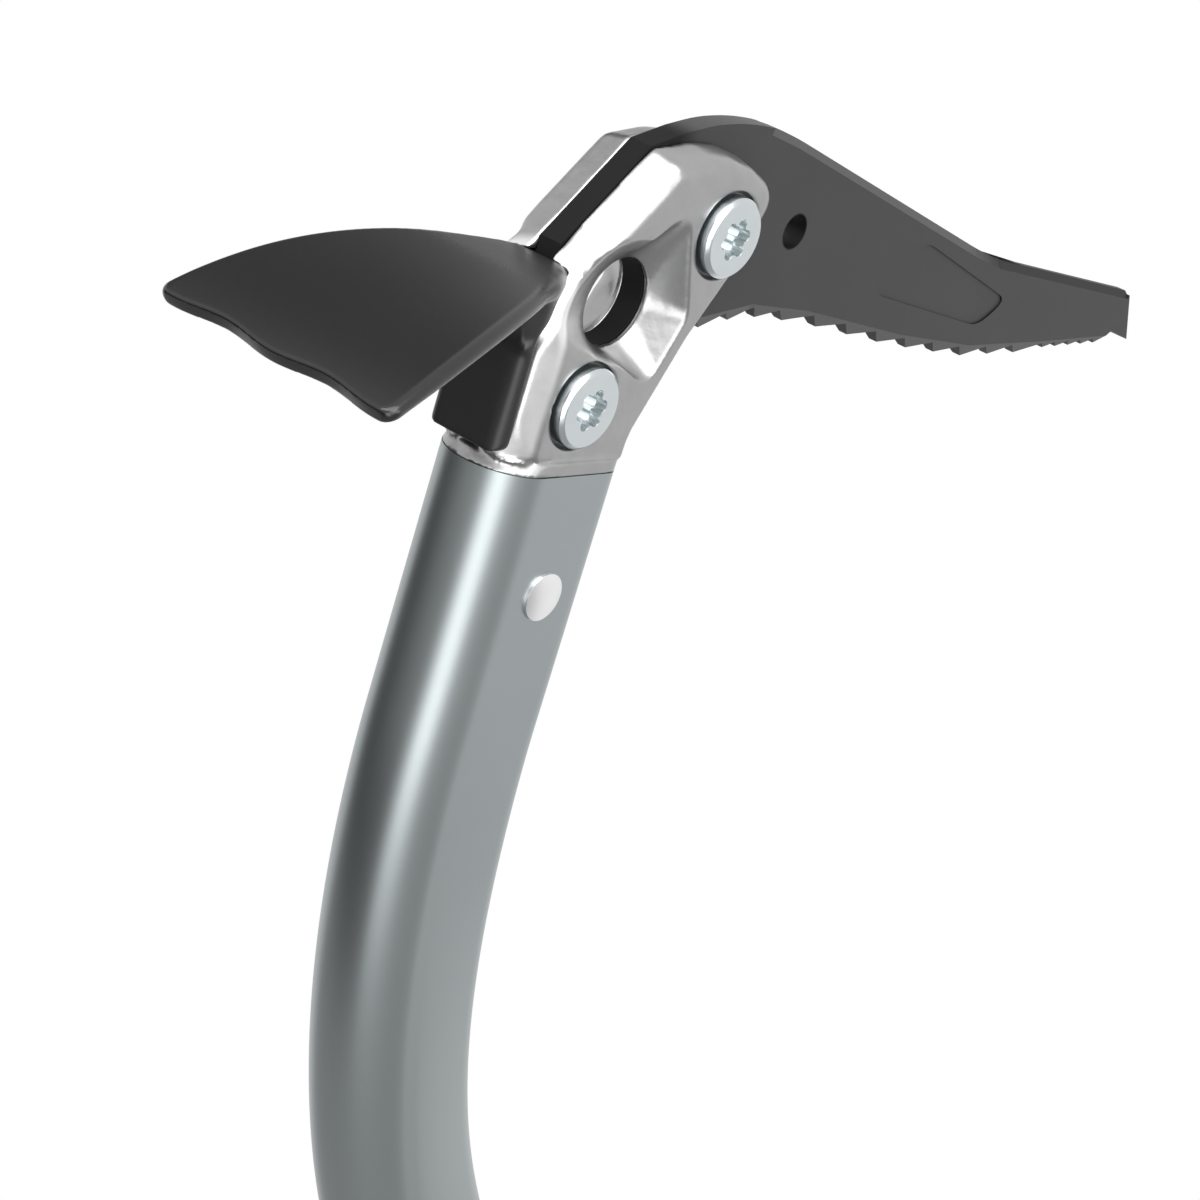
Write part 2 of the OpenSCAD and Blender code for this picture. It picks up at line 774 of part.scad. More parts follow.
module trigger_lever() {
  color([0.2, 0.2, 0.21])
    low_frame()
      difference() {
        union() {
          cross_bar([cam_x, cam_z], cam_r, -cam_r, cam_r);
          side(2 * cam_r)
            union() {
              polygon([[cam_x - cam_r, cam_z], [cam_x - 0.4, cam_z], [cam_x - 0.4, cam_z - lever_len + 1],
                       [cam_x - cam_r - 1, cam_z - lever_len], [cam_x - cam_r - 0.6, cam_z - lever_len / 2]]);
              translate([cam_x - cam_r / 2 - 0.9, cam_z - lever_len + 0.6])
                circle(r = cam_r / 2 + 0.1);
            }
        }
        cross_bar([cam_x, cam_z], lever_pin_r + pin_gap, -20, 20);
      }
}

module lever_pin() {
  color([0.7, 0.71, 0.72])
    low_frame()
      cross_bar([cam_x, cam_z], lever_pin_r, -cam_r - 2.8, cam_r + 2.8);
}

module brake_pad() {
  color([0.3, 0.3, 0.31])
    low_frame()
      difference() {
        translate([cam_x + cam_r + fit_gap, -3.5, cam_z - 3.5])
          cube([12, 7, 7]);
        cross_bar([cam_x, cam_z], cam_r + fit_gap, -8, 8);
        translate([0, 0, cam_z - 8])
          linear_extrude(16)
            union() {
              tube_section(slide_gap);
              translate([half_w - half_d, -20])
                square([40, 40]);
            }
      }
}

module pommel_collar() {
  color([0.13, 0.13, 0.14])
    difference() {
      union() {
        low_sleeve(shaft_end, collar_h, grip_grow);
        low_frame()
          side(2 * ear_out)
            union() {
              translate([hinge_x, hinge_z])
                circle(r = hub_r);
              polygon([[half_d, shaft_end], [hinge_x, hinge_z - hub_r], [hinge_x, hinge_z + hub_r],
                       [half_d + grip_grow, collar_top], [half_d, collar_top]]);
            }
      }
      low_sleeve(shaft_end - 1, collar_h + 2, pin_gap);
      low_frame() {
        side(2 * ear_in)
          union() {
            translate([hinge_x, hinge_z])
              circle(r = hub_r + 0.6);
            translate([hinge_x, hinge_z - hub_r - 5])
              square([30, 2 * hub_r + 20]);
            translate([hinge_x - hub_r - 0.6, hinge_z])
              square([40, hub_r + 20]);
          }
        cross_bar([hinge_x, hinge_z], rest_pin_r + press_gap, -30, 30);
        cross_bar([0, spike_rivet_z], spike_rivet_r + pin_gap, -30, 30);
      }
    }
}

// the shelf of the hand rest: its start beyond the hub, its heel, its lip and the hollow for the hand
shelf_gap = 3;
heel_len = 8;
lip_r = 2.8;
lip_rise = 8.4;
hollow_r = 13.6;
hollow_p = [15, 14];
module hand_rest() {
  reach = hinge_x + rest_reach;
  sole = hinge_z - hub_r;
  shelf = hinge_x + hub_r + shelf_gap;
  lip = [reach, hinge_z + lip_rise];
  color([0.15, 0.15, 0.16])
    low_frame()
      difference() {
        union() {
          cross_bar([hinge_x, hinge_z], hub_r, -hub_half, hub_half);
          side(2 * hub_half)
            polygon([[hinge_x, sole], [reach - hollow_p[0], sole], [reach - hollow_p[0], hinge_z],
                     [hinge_x + shelf_gap, hinge_z + hub_r - shelf_gap / 2], [hinge_x, hinge_z + hub_r]]);
          side(rest_width)
            difference() {
              union() {
                polygon([[shelf, sole], [reach - heel_len, sole], [reach, hinge_z], lip + [lip_r, 0],
                         lip - [lip_r, 0], [reach - heel_len, hinge_z + hub_r], [shelf, hinge_z + shelf_gap]]);
                translate(lip)
                  circle(r = lip_r);
              }
              translate([reach - hollow_p[0], hinge_z + hollow_p[1]])
                circle(r = hollow_r);
            }
        }
        cross_bar([hinge_x, hinge_z], rest_pin_r + pin_gap, -30, 30);
      }
}

module rest_pin() {
  color([0.7, 0.71, 0.72])
    low_frame()
      cross_bar([hinge_x, hinge_z], rest_pin_r, -ear_out, ear_out);
}

module rest_washers() {
  color([0.62, 0.63, 0.64])
    low_frame()
      for (m = [0, 1])
        mirror([0, m, 0])
          difference() {
            cross_bar([hinge_x, hinge_z], hub_r - 0.4, hub_half + fit_gap, hub_half + fit_gap + washer_t);
            cross_bar([hinge_x, hinge_z], rest_pin_r + pin_gap, 0, 30);
          }
}

module spike() {
  top = shaft_end - spike_flange_h;
  tip = top - spike_len;
  taper_top = spike_eye_z - spike_eye_r - 2;
  color([0.34, 0.35, 0.36])
    difference() {
      union() {
        low_sleeve(top + 1, spike_flange_h + collar_h + 5, -shaft_wall - fit_gap);
        low_sleeve(top, spike_flange_h - fit_gap, grip_grow);
        low_frame()
          intersection() {
            side(spike_t)
              polygon([[-12, top + 1], [13, top + 1], [12.4, top - 2], [10, spike_eye_z - 4], [1.2, tip + 1],
                       [-0.4, tip], [-1.6, tip + 1], [-9.6, spike_eye_z - 5], [-11.6, top - 2]]);
            translate([-30, 0, 0])
              rotate([90, 0, 90])
                linear_extrude(60)
                  polygon([[-0.7, tip - 1], [0.7, tip - 1], [spike_t / 2, taper_top], [spike_t / 2, top + 2],
                           [-spike_t / 2, top + 2], [-spike_t / 2, taper_top]]);
          }
      }
      low_frame() {
        cross_bar([0, spike_eye_z], spike_eye_r, -30, 30);
        cross_bar([0, spike_rivet_z], spike_rivet_r + pin_gap, -30, 30);
      }
    }
}

module spike_rivet() {
  color([0.7, 0.71, 0.72])
    low_frame()
      cross_bar([0, spike_rivet_z], spike_rivet_r, -half_w - grip_grow, half_w + grip_grow);
}

head_forging();
pick();
adze();
pick_bolts();
pick_nuts();
head_rivet();
shaft();
grip_core();
grip();
trigger_body();
trigger_cushion();
trigger_lever();
lever_pin();
brake_pad();
pommel_collar();
hand_rest();
rest_pin();
rest_washers();
spike();
spike_rivet();
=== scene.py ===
import math

import bpy
from mathutils import Matrix, Vector

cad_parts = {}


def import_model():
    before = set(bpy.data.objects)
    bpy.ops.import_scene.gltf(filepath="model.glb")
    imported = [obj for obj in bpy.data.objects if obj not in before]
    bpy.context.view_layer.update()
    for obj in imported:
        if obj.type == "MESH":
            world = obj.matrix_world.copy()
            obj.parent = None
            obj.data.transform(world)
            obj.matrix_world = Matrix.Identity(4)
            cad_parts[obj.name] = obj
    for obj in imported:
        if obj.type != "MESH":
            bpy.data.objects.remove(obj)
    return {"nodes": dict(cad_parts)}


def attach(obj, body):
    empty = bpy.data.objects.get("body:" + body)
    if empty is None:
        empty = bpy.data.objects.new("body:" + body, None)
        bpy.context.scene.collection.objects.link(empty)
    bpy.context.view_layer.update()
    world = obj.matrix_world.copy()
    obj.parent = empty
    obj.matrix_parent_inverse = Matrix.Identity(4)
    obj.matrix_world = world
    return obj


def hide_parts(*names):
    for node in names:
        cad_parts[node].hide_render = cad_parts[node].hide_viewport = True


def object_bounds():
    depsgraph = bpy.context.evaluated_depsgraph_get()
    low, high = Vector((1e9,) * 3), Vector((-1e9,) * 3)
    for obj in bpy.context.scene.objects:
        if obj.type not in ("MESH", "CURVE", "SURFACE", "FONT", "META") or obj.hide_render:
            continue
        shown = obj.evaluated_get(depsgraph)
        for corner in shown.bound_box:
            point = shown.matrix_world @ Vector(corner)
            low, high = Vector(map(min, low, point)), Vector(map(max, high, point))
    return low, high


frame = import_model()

cad_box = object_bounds()
MM = 0.001

# Camera at the photograph's place, in the tool's frame
CAMERA_AT = Vector((-0.233918, -0.255670, 0.281680))
CAMERA_RIGHT = Vector((0.669336, -0.734559, -0.111408))
CAMERA_UP = Vector((0.577365, 0.419897, 0.700240))
LENS = 90
SENSOR = 36

# Studio: the floor, the round card on it, the round walls' faces and the world's light on the tool
FLOOR_GAP = 3 * MM
FLOOR_Z = cad_box[0].z - FLOOR_GAP
FLOOR_SIZE = 14
FLOOR_GREY = 0.85
FLOOR_ROUGHNESS = 0.9
CARD_RADIUS = 1.48
CARD_STEPS = 64
CARD_LIFT = 1 * MM
CARD_TURN = math.radians(25)
CARD_DARK = -0.135
CARD_LIGHT = 0.085
CARD_GREY = 0.47
WALL_STEPS = 48
FILL = 0.4

# Mesh work: distances within which points merge, smoothing, and angles in degrees
CAD_MERGE = 0.002 * MM
BLADE_MERGE = 0.005 * MM
TUBE_MERGE = 0.01 * MM
SMOOTH_FACTOR = 0.5
FIRST_ROUNDS = 3
FLAT_ANGLE = 0.5
BREAK_ANGLE = 25
SMOOTH_ANGLE = 40

# The head's own frame: t forward from the shaft's axis and s up from the seam
BEND = math.radians(34)
EYE = Vector((7.8, 0, 25)) * MM
LOW_BOLT = Vector((0.2, 0, 10.9)) * MM
UP_BOLT = Vector((22.7, 0, 37.5)) * MM
HEAD = Matrix.Rotation(BEND, 4, "Y") @ Matrix.Translation(-EYE)

# The scoop behind the eye: its slope grows with the bearing from straight back
EYE_R = 7.2 * MM
EYE_LAND = 3.05 * MM
SCOOP_SLOPE = 0.45
SCOOP_UP = 0.36
SCOOP_DOWN = 2.5

# Blocks that fill the head's heel and flank: outline by t and s, inner and outer distance from the
# middle plane, and how far the outer outline is shifted, in millimetres
HEEL_ROOF = ((-5, 36.6), (-9.9, 31.4), (-5, 31.4))
HEEL_SIDE = (
    (-5.5, 33.2), (-6.8, 32.6), (-9.7, 30.8), (-11.4, 27.8), (-12.6, 24), (-12.6, 21), (-5.5, 21))
FLANK_SIDE = ((-7, 24), (-10.5, 24), (-12.7, 19), (-12.7, 8), (-10.2, 2.6), (-7, 2.6))
HEAD_BLOCKS = (
    (HEEL_ROOF, 2.1, 6.5, (0.7, -0.65)),
    (HEEL_SIDE, 5.9, 7.9, (2.2, 0)),
    (FLANK_SIDE, 5.9, 8.3, (0, 0)))

# The flank behind the cheeks: its front edge steps back over two spans of s, and it draws in to its rear
FLANK_FRONT = -7.5 * MM
FLANK_REAR = -12.7 * MM
FLANK_LOW_STEP = 1.5 * MM
FLANK_LOW_S = (6 * MM, 18.7 * MM)
FLANK_TOP_STEP = 3 * MM
FLANK_TOP_S = (18.7 * MM, 25.5 * MM)
FLANK_HALF = 8.35 * MM
FLANK_DRAWN = 1.2 * MM
FLANK_FLARE = 0.45

# The far window, drawn in at its front, and the flange, drawn in to its top at the rear
FAR_LIP = Vector((16.5, 0, 20.5)) * MM
FAR_DRAWN = 1.4 * MM
FAR_Y = (3 * MM, 7 * MM)
FAR_REACH = (3 * MM, 7 * MM)
FLANGE_H = 2.2 * MM
FLANGE_EDGE = 0.2 * MM
FLANGE_INSET = 0.7 * MM
FLANGE_T = (-8 * MM, 0)

# The forging's edges: spans of t and s where step, flank and nose turn soft, and what is kept
HEAD_VOXEL = 0.37 * MM
HEAD_ROUNDS = 45
STEP_T = ((-14 * MM, -10 * MM), (-3 * MM, 1 * MM))
STEP_S = ((14 * MM, 20 * MM), (33 * MM, 37 * MM))
STEP_SOFT = 0.7
SOFT_FLANK_T = (-9 * MM, -4 * MM)
SOFT_FLANK_S = ((3 * MM, 6 * MM), (24 * MM, 28 * MM))
FLANK_SOFT = 0.6
NOSE_T = (3 * MM, 11 * MM)
NOSE_S = (36 * MM, 42 * MM)
FLANGE_TOP = 2.8 * MM
FLANGE_KEEP = 0.95
BODY_KEEP = 0.85
SEAT_R = 7.3 * MM
SEAT_FADE = 1.2 * MM
SEAT_KEEP = 0.9

# The adze's blade: its side curve, its flare, its thickness along the way and its cutting edge
CURVE_R = 99 * MM
CURVE_C = Vector((-10.2, 0, -67.6)) * MM
FLARE_R = 114.5 * MM
FLARE_C = Vector((-69.3, -91.3, 0)) * MM
ROOT_HALF = 5.8 * MM
BLADE_ROOT = -8.6 * MM
BLADE_END = -59.8 * MM
ROOT_T = 4.6 * MM
ROOT_SPAN = (-22 * MM, -12 * MM)
BLADE_T = 2.8 * MM
EDGE_T = 2.3 * MM
EDGE_RUN = 12 * MM
EDGE_ROUND = 8
EDGE_W = 39 * MM
EDGE_CORNER = 2 * MM
SCALLOP = 0.9 * MM
SCALLOPS = 2
SCALLOP_RUN = 9 * MM
BLADE_AROUND = 240
BLADE_ALONG = 150
BLADE_CROWD = 1.6

# The adze's leg: where its stub of blade is cut, how stub and knuckle are narrowed, and its soft fold
LEG_CUT = -22 * MM
LEG_BACK = -15.6 * MM
STUB_NARROW = 0.85
STUB_DROP = 0.5 * MM
KNUCKLE_FRONT = -10 * MM
KNUCKLE_LOW = 20 * MM
KNUCKLE_NARROW = 0.8
ADZE_VOXEL = 0.26 * MM
ADZE_ROUNDS = 51
FOLD_T = (-26 * MM, -18 * MM)
FOLD_S = (6 * MM, 14 * MM)
FOLD_KEEP = 0.92
CUTTING_T = (-54 * MM, -46 * MM)

# The pick's accessory hole, in the tool's frame
HOLE = Vector((41.03, 0, -14.28)) * MM
HOLE_R = 3.1 * MM

# The bolts' faces and recesses, and the rivet's heads
BOLT_FACE = 10 * MM
BOLT_BREAK = 0.1 * MM
BOLT_ANGLE = 35
RECESS_R = 3.5 * MM
CAD_RECESS = 2.4 * MM
RECESS_DEPTH = 2 * MM
RECESS_NEAR = 0.01 * MM
RIVET = Vector((3, 0, -19.7)) * MM
RIVET_R = 3.9 * MM
RIVET_H = 0.45 * MM
RIVET_STEPS = 72
RIVET_BREAK = 0.08 * MM
RIVET_ANGLE = 60

# Broken edges of pick and spike, and the cushion's soft ones
PICK_BREAK = 0.18 * MM
SPIKE_BREAK = 0.5 * MM
SPIKE_SEGMENTS = 3
CUSHION_VOXEL = 0.2 * MM
CUSHION_ROUNDS = 12

# The tube: its section, its run and the egg shape that it takes in the bend
HALF_DEPTH = 13.7 * MM
HALF_WIDTH = 9.15 * MM
FRONT_R = 3.5 * MM
FRONT_TAPER = 2.4 * MM
TAPER_START = -2 * MM
TAPER_POWER = 1.5
TAPER_RUN = (10 * MM, 100 * MM)
TUBE_WALL = 2 * MM
UPPER_LEN = 42.4 * MM
BEND_R = 192.7 * MM
LOWER_LEN = 278 * MM
TUBE_AROUND = 160
TUBE_ALONG = 200

# Finishes, painted shade and painted highlights that change over a piece: where, measured from the eye
# along the head's axes, and how
# Painted shade (near black) for the pick's tang, hole wall, rear-leaning faces and tip. Then painted
# light (lighter colours) for its faces that lean over short of the tip, and those that lean under
PAINTED_SHADE = (0.004, 0.004, 0.004)
UPPER_BEVEL_PAINTED_LIGHT = (0.045, 0.045, 0.045)
LOWER_BEVEL_PAINTED_LIGHT = (0.055, 0.055, 0.055)
TIP_T = (95 * MM, 110 * MM)
TANG_T = (4 * MM, 10 * MM)
TANG_DULL = 0.35
# Painted highlight: the lighter colour laid on the head's flank, between the spans BRIGHT_T and BRIGHT_S
FLANK_PAINTED_HIGHLIGHT = (0.8, 0.8, 0.8)
FLANK_DULL = 0.08
BRIGHT_T = (-16.8 * MM, -15.2 * MM)
BRIGHT_S = (-22.7 * MM, -21.7 * MM)
BLADE_GLOSS = -0.18
GLOSS_T = (-32 * MM, -23 * MM)
PEBBLE_SCALE = 450
PEBBLE_CROWN = 0.25
PEBBLE_H = 0.2 * MM


def deselect():
    bpy.ops.object.select_all(action="DESELECT")


def activate(piece):
    deselect()
    piece.select_set(True)
    bpy.context.view_layer.objects.active = piece


def new_piece(name):
    piece = bpy.context.active_object
    piece.name = name
    piece.data.name = name
    return piece


def edit(piece):
    activate(piece)
    bpy.ops.object.mode_set(mode="EDIT")
    bpy.ops.mesh.select_all(action="SELECT")


def done():
    bpy.ops.object.mode_set(mode="OBJECT")


def modify(piece, kind, **settings):
    """Adds a modifier with these settings and applies it."""
    activate(piece)
    change = piece.modifiers.new(kind.lower(), kind)
    for key, value in settings.items():
        setattr(change, key, value)
    bpy.ops.object.modifier_apply(modifier=change.name)


def cad_copy(node, name, place=Matrix()):
    """A piece that starts as the merged mesh of a CAD node, seen in the frame of place."""
    mesh = frame["nodes"][node].data.copy()
    mesh.name = name
    mesh.materials.clear()
    mesh.transform(place.inverted())
    piece = bpy.data.objects.new(name, mesh)
    bpy.context.scene.collection.objects.link(piece)
    edit(piece)
    bpy.ops.mesh.remove_doubles(threshold=CAD_MERGE)
    bpy.ops.mesh.customdata_custom_splitnormals_clear()
    done()
    return piece


def even(piece, voxel):
    """Gives a piece an even mesh of small faces."""
    activate(piece)
    piece.data.remesh_voxel_size = voxel
    bpy.ops.object.voxel_remesh()


def soften(piece, voxel, rounds, firm=None):
    """Gives a piece an even mesh and rounds its edges, less where firm(point) is near 1."""
    even(piece, voxel)
    modify(piece, "SMOOTH", factor=SMOOTH_FACTOR, iterations=FIRST_ROUNDS)
    loose = piece.vertex_groups.new(name="loose")
    for vertex in piece.data.vertices:
        loose.add([vertex.index], 1 - (firm(vertex.co) if firm else 0), "REPLACE")
    modify(piece, "SMOOTH", factor=SMOOTH_FACTOR, iterations=rounds, vertex_group="loose")
    piece.vertex_groups.clear()
    bpy.ops.object.shade_smooth()


def crisp(piece, width, segments=2, angle=BREAK_ANGLE):
    """Turns a copied CAD mesh back into plain faces and breaks its sharp edges."""
    edit(piece)
    bpy.ops.mesh.dissolve_limited(angle_limit=math.radians(FLAT_ANGLE))
    done()
    modify(piece, "BEVEL", width=width, segments=segments, limit_method="ANGLE",
           angle_limit=math.radians(angle))
    activate(piece)
    bpy.ops.object.shade_smooth_by_angle(angle=math.radians(angle))
    modify(piece, "WEIGHTED_NORMAL", keep_sharp=True)


def ramp(value, low, high):
    """0 below low, 1 above high and an even S between."""
    share = min(max((value - low) / (high - low), 0), 1)
    return share * share * (3 - 2 * share)


def between(value, rise, fall):
    """Comes up to 1 over the span rise and goes back to 0 over the span fall."""
    return ramp(value, *rise) * (1 - ramp(value, *fall))


def settle(piece, place, body, slot, *nodes):
    """Puts a finished piece back into the tool's frame, on its body, with its slot's finish."""
    piece.data.transform(place)
    piece.data.materials.append(FINISHES[slot])
    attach(piece, body)
    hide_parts(*nodes)


# Shader helpers

def link(tree, source, target):
    tree.links.new(source, target)


def add_node(tree, kind, **settings):
    node = tree.nodes.new(kind)
    for key, value in settings.items():
        setattr(node, key, value)
    return node


def node_group(name, inputs, outputs):
    """An empty shader group with named sockets, and its input and output nodes."""
    group = bpy.data.node_groups.new(name, "ShaderNodeTree")
    for socket, value in inputs.items():
        made = group.interface.new_socket(socket, in_out="INPUT", socket_type="NodeSocketFloat")
        made.default_value = value
    for socket in outputs:
        group.interface.new_socket(socket, in_out="OUTPUT", socket_type="NodeSocketFloat")
    return group, group.nodes.new("NodeGroupInput"), group.nodes.new("NodeGroupOutput")


def grain_group():
    """Fine even grain, as from blasting or a mould's texture, with slow blotches over it."""
    group, entry, leave = node_group("grain", {"Scale": 4000, "Blotch scale": 60}, ["Grain", "Blotch"])
    place = add_node(group, "ShaderNodeTexCoord")
    for socket, size, detail in (("Grain", "Scale", 2), ("Blotch", "Blotch scale", 3)):
        noise = add_node(group, "ShaderNodeTexNoise")
        noise.inputs["Detail"].default_value = detail
        link(group, place.outputs["Object"], noise.inputs["Vector"])
        link(group, entry.outputs[size], noise.inputs["Scale"])
        link(group, noise.outputs["Fac"], leave.inputs[socket])
    return group


def length_group(name, axis):
    """Mask along an axis of the head: 1 short of the start, 0 past the end, both from the eye."""
    group, entry, leave = node_group(name, {"Start": 0, "End": 0.01}, ["Behind"])
    place = add_node(group, "ShaderNodeTexCoord")
    reach = add_node(group, "ShaderNodeVectorMath", operation="DOT_PRODUCT")
    reach.inputs[1].default_value = HEAD.to_3x3() @ Vector(axis)
    link(group, place.outputs["Object"], reach.inputs[0])
    fade = add_node(group, "ShaderNodeMapRange", interpolation_type="SMOOTHSTEP")
    fade.inputs["To Min"].default_value = 1
    fade.inputs["To Max"].default_value = 0
    link(group, reach.outputs["Value"], fade.inputs["Value"])
    link(group, entry.outputs["Start"], fade.inputs["From Min"])
    link(group, entry.outputs["End"], fade.inputs["From Max"])
    link(group, fade.outputs["Result"], leave.inputs["Behind"])
    return group


def bore_group():
    """Mask of a round hole across the tool: 1 within the radius about its axis."""
    group, entry, leave = node_group("bore", {"X": 0, "Z": 0, "Radius": 0.003}, ["Inside"])
    place = add_node(group, "ShaderNodeTexCoord")
    split = add_node(group, "ShaderNodeSeparateXYZ")
    axis = add_node(group, "ShaderNodeCombineXYZ")
    link(group, place.outputs["Object"], split.inputs["Vector"])
    link(group, entry.outputs["X"], axis.inputs["X"])
    link(group, entry.outputs["Z"], axis.inputs["Z"])
    link(group, split.outputs["Y"], axis.inputs["Y"])
    reach = add_node(group, "ShaderNodeVectorMath", operation="DISTANCE")
    link(group, place.outputs["Object"], reach.inputs[0])
    link(group, axis.outputs["Vector"], reach.inputs[1])
    inside = add_node(group, "ShaderNodeMath", operation="LESS_THAN")
    link(group, reach.outputs["Value"], inside.inputs[0])
    link(group, entry.outputs["Radius"], inside.inputs[1])
    link(group, inside.outputs["Value"], leave.inputs["Inside"])
    return group


def facing_group():
    """Masks of the pick's faces by the way they lean, for its painted light and shade: faces that lean to
    the rear, under or over.
    """
    group, entry, leave = node_group("facing", {"Least": 0.25, "Span": 0.15}, ["Rear", "Under", "Over"])
    place = add_node(group, "ShaderNodeTexCoord")
    axes = HEAD.to_3x3()
    for socket, axis in (("Rear", (-1, 0, 0)), ("Under", (0, 0, -1)), ("Over", (0, 0, 1))):
        lean = add_node(group, "ShaderNodeVectorMath", operation="DOT_PRODUCT")
        lean.inputs[1].default_value = axes @ Vector(axis)
        link(group, place.outputs["Normal"], lean.inputs[0])
        past = add_node(group, "ShaderNodeMath", operation="SUBTRACT")
        link(group, lean.outputs["Value"], past.inputs[0])
        link(group, entry.outputs["Least"], past.inputs[1])
        share = add_node(group, "ShaderNodeMath", operation="DIVIDE", use_clamp=True)
        link(group, past.outputs["Value"], share.inputs[0])
        link(group, entry.outputs["Span"], share.inputs[1])
        link(group, share.outputs["Value"], leave.inputs[socket])
    return group


def pebble_group():
    """Rounded pebbles, as moulded into a rubber grip."""
    group, entry, leave = node_group("pebbles", {"Scale": PEBBLE_SCALE}, ["Height"])
    place = add_node(group, "ShaderNodeTexCoord")
    cells = add_node(group, "ShaderNodeTexVoronoi", feature="DISTANCE_TO_EDGE")
    link(group, place.outputs["Object"], cells.inputs["Vector"])
    link(group, entry.outputs["Scale"], cells.inputs["Scale"])
    crown = add_node(group, "ShaderNodeMapRange", interpolation_type="SMOOTHSTEP")
    crown.inputs["From Max"].default_value = PEBBLE_CROWN
    link(group, cells.outputs["Distance"], crown.inputs["Value"])
    link(group, crown.outputs["Result"], leave.inputs["Height"])
    return group


GRAIN = grain_group()
LENGTH = length_group("length", (1, 0, 0))
RISE = length_group("rise", (0, 0, 1))
BORE = bore_group()
FACING = facing_group()
PEBBLES = pebble_group()


def use_group(made, group, **sizes):
    """A node of this group in a material, with its inputs set."""
    node = add_node(made.node_tree, "ShaderNodeGroup", node_tree=group)
    for socket, value in sizes.items():
        node.inputs[socket].default_value = value
    return node


def short_of(made, group, span):
    """Mask in a material: 1 short of a span along the group's axis, 0 past it."""
    return use_group(made, group, Start=span[0], End=span[1]).outputs["Behind"]


def combine(made, operation, first, second):
    """Two masks of a material worked into one, kept between 0 and 1."""
    both = add_node(made.node_tree, "ShaderNodeMath", operation=operation, use_clamp=True)
    link(made.node_tree, first, both.inputs[0])
    link(made.node_tree, second, both.inputs[1])
    return both.outputs["Value"]


def bump_over(made, height, depth):
    """Adds a bump to a material on top of the bumps that it has."""
    tree = made.node_tree
    target = tree.nodes["Principled BSDF"].inputs["Normal"]
    bump = add_node(tree, "ShaderNodeBump")
    bump.inputs["Distance"].default_value = depth
    link(tree, height, bump.inputs["Height"])
    if target.links:
        link(tree, target.links[0].from_socket, bump.inputs["Normal"])
    link(tree, bump.outputs["Normal"], target)


def lay_over(made, mask, colour):
    """Lays a colour over a material's own where the mask is 1."""
    tree = made.node_tree
    target = tree.nodes["Principled BSDF"].inputs["Base Color"]
    mix = add_node(tree, "ShaderNodeMix", data_type="RGBA")
    mix.inputs["B"].default_value = (*colour, 1)
    link(tree, mask, mix.inputs["Factor"])
    link(tree, target.links[0].from_socket, mix.inputs["A"])
    link(tree, mix.outputs["Result"], target)


def roughen(made, mask, amount):
    """Makes a material duller where the mask is 1, or glossier where the amount is below 0."""
    tree = made.node_tree
    target = tree.nodes["Principled BSDF"].inputs["Roughness"]
    more = add_node(tree, "ShaderNodeMath", operation="MULTIPLY_ADD")
    more.inputs[1].default_value = amount
    link(tree, mask, more.inputs[0])
    link(tree, target.links[0].from_socket, more.inputs[2])
    link(tree, more.outputs["Value"], target)


def material(name, colour, lighter, roughness, spread, metallic, grain, blotch, depth,
             dents=0, specular=0.5):
    """A surface whose colour drifts with slow blotches, which may be dents too, and whose gloss
    and small bumps follow a fine grain."""
    made = bpy.data.materials.new(name)
    made.use_nodes = True
    tree = made.node_tree
    shader = tree.nodes["Principled BSDF"]
    shader.inputs["Metallic"].default_value = metallic
    shader.inputs["Specular IOR Level"].default_value = specular
    group = use_group(made, GRAIN, **{"Scale": grain, "Blotch scale": blotch})
    tint = add_node(tree, "ShaderNodeMix", data_type="RGBA")
    tint.inputs["A"].default_value = (*colour, 1)
    tint.inputs["B"].default_value = (*lighter, 1)
    link(tree, group.outputs["Blotch"], tint.inputs["Factor"])
    link(tree, tint.outputs["Result"], shader.inputs["Base Color"])
    gloss = add_node(tree, "ShaderNodeMapRange")
    gloss.inputs["To Min"].default_value = roughness - spread
    gloss.inputs["To Max"].default_value = roughness + spread
    link(tree, group.outputs["Grain"], gloss.inputs["Value"])
    link(tree, gloss.outputs["Result"], shader.inputs["Roughness"])
    bump_over(made, group.outputs["Grain"], depth)
    if dents:
        bump_over(made, group.outputs["Blotch"], dents)
    return made


HEAD_ALLOY = material(
    "head_alloy", (0.335, 0.335, 0.335), (0.4, 0.4, 0.4), roughness=0.32, spread=0.05,
    metallic=1, grain=2500, blotch=260, depth=0.003 * MM, dents=0.12 * MM)
PICK_STEEL = material(
    "pick_steel", (0.026, 0.026, 0.0265), (0.031, 0.031, 0.0315), roughness=0.5, spread=0.06,
    metallic=0, grain=5000, blotch=90, depth=0.01 * MM, specular=0.25)
BLACK_STEEL = material(
    "black_steel", (0.009, 0.009, 0.0092), (0.012, 0.012, 0.0122), roughness=0.4, spread=0.03,
    metallic=0, grain=1500, blotch=60, depth=0.002 * MM)
ZINC_STEEL = material(
    "zinc_steel", (0.54, 0.58, 0.59), (0.62, 0.66, 0.67), roughness=0.24, spread=0.05,
    metallic=1, grain=5000, blotch=200, depth=0.002 * MM)
RIVET_STEEL = material(
    "rivet_steel", (0.76, 0.76, 0.76), (0.84, 0.84, 0.84), roughness=0.3, spread=0.04,
    metallic=1, grain=4000, blotch=200, depth=0.002 * MM)
SHAFT_ALLOY = material(
    "shaft_alloy", (0.33, 0.36, 0.365), (0.36, 0.39, 0.395), roughness=0.36, spread=0.04,
    metallic=1, grain=6000, blotch=40, depth=0.001 * MM)
BLACK_NYLON = material(
    "black_nylon", (0.03, 0.03, 0.032), (0.038, 0.038, 0.04), roughness=0.55, spread=0.08,
    metallic=0, grain=3000, blotch=80, depth=0.03 * MM)
